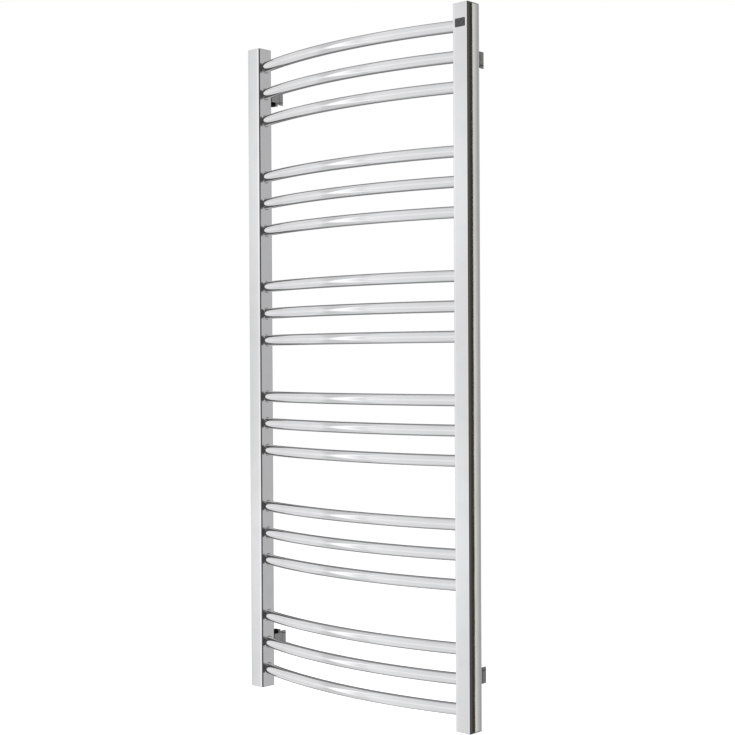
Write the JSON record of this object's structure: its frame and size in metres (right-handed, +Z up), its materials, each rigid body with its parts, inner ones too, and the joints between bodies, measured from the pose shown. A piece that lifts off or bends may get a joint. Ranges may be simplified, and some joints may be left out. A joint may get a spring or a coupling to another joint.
{
  "type": "towel radiator",
  "caption": "Wall-hung ladder towel radiator: square uprights, forward-bowed round rungs in groups, telescopic wall brackets, bottom ports and a bleed valve in one top cap.",
  "frame": {"origin": "on the wall's surface, at the middle of the four wall brackets", "axes": "+Z up, +Y into the wall, +X to the right of a person facing the radiator"},
  "size_m": [0.532, 0.089, 1.2],
  "materials": {
    "polished_steel": "mirror-polished stainless steel",
    "bracket_steel": "satin grey cast metal",
    "zinc_steel": "zinc-plated",
    "black_oxide": "black-oxide steel",
    "nickel_brass": "nickel-plated brass",
    "seal_rubber": "moulded EPDM",
    "dark_enamel": "dark enamel, blank"
  },
  "bodies": {
    "wall": {"wall_base_top_left": "bracket_steel", "wall_base_top_right": "bracket_steel", "wall_base_bottom_left": "bracket_steel", "wall_base_bottom_right": "bracket_steel"},
    "rail": {"rung_01": "polished_steel", "rung_02": "polished_steel", "rung_03": "polished_steel", "rung_04": "polished_steel", "rung_05": "polished_steel", "rung_06": "polished_steel", "rung_07": "polished_steel", "rung_08": "polished_steel", "rung_09": "polished_steel", "rung_10": "polished_steel", "rung_11": "polished_steel", "rung_12": "polished_steel", "rung_13": "polished_steel", "rung_14": "polished_steel", "rung_15": "polished_steel", "rung_16": "polished_steel", "rung_17": "polished_steel", "rung_18": "polished_steel", "upright_left": "polished_steel", "upright_right": "polished_steel", "top_cap_left": "polished_steel", "top_cap_right": "polished_steel", "bottom_cap_left": "polished_steel", "bottom_cap_right": "polished_steel", "sleeve_top_left": "bracket_steel", "bush_top_left": "zinc_steel", "rail_bolt_top_left": "zinc_steel", "sleeve_top_right": "bracket_steel", "bush_top_right": "zinc_steel", "rail_bolt_top_right": "zinc_steel", "sleeve_bottom_left": "bracket_steel", "bush_bottom_left": "zinc_steel", "rail_bolt_bottom_left": "zinc_steel", "sleeve_bottom_right": "bracket_steel", "bush_bottom_right": "zinc_steel", "rail_bolt_bottom_right": "zinc_steel", "name_plate": "dark_enamel"},
    "clamp_top_left": {"clamp_screw_top_left": "black_oxide"},
    "clamp_top_right": {"clamp_screw_top_right": "black_oxide"},
    "clamp_bottom_left": {"clamp_screw_bottom_left": "black_oxide"},
    "clamp_bottom_right": {"clamp_screw_bottom_right": "black_oxide"},
    "vent_ring": {"vent_o_ring": "seal_rubber"},
    "vent_needle": {"vent_screw": "nickel_brass"}
  },
  "joints": [
    {"name": "rail_slide", "type": "slide", "parent": "wall", "child": "rail", "axis": [0, -1, 0], "range_m": [0, 0.012]},
    {"name": "clamp_top_left_turn", "type": "hinge", "parent": "rail", "child": "clamp_top_left", "pos_m": [-0.2425, -0.02, 0.4966], "axis": [0, 0, -1], "range_deg": [0, 540]},
    {"name": "clamp_top_right_turn", "type": "hinge", "parent": "rail", "child": "clamp_top_right", "pos_m": [0.2425, -0.02, 0.4966], "axis": [0, 0, -1], "range_deg": [0, 540]},
    {"name": "clamp_bottom_left_turn", "type": "hinge", "parent": "rail", "child": "clamp_bottom_left", "pos_m": [-0.2425, -0.02, -0.4966], "axis": [0, 0, 1], "range_deg": [0, 540]},
    {"name": "clamp_bottom_right_turn", "type": "hinge", "parent": "rail", "child": "clamp_bottom_right", "pos_m": [0.2425, -0.02, -0.4966], "axis": [0, 0, 1], "range_deg": [0, 540]},
    {"name": "vent_ring_lift", "type": "slide", "parent": "rail", "child": "vent_ring", "axis": [0, 0, 1], "range_m": [0, 0.0015]},
    {"name": "vent_screw_turn", "type": "hinge", "parent": "vent_ring", "child": "vent_needle", "pos_m": [0.25, -0.046, 0.6], "axis": [0, 0, 1], "range_deg": [0, 540]}
  ],
  "couplings": [
    {"joint": "vent_screw_turn", "follows": "vent_ring_lift", "rad_per_m": 6283.2}
  ]
}
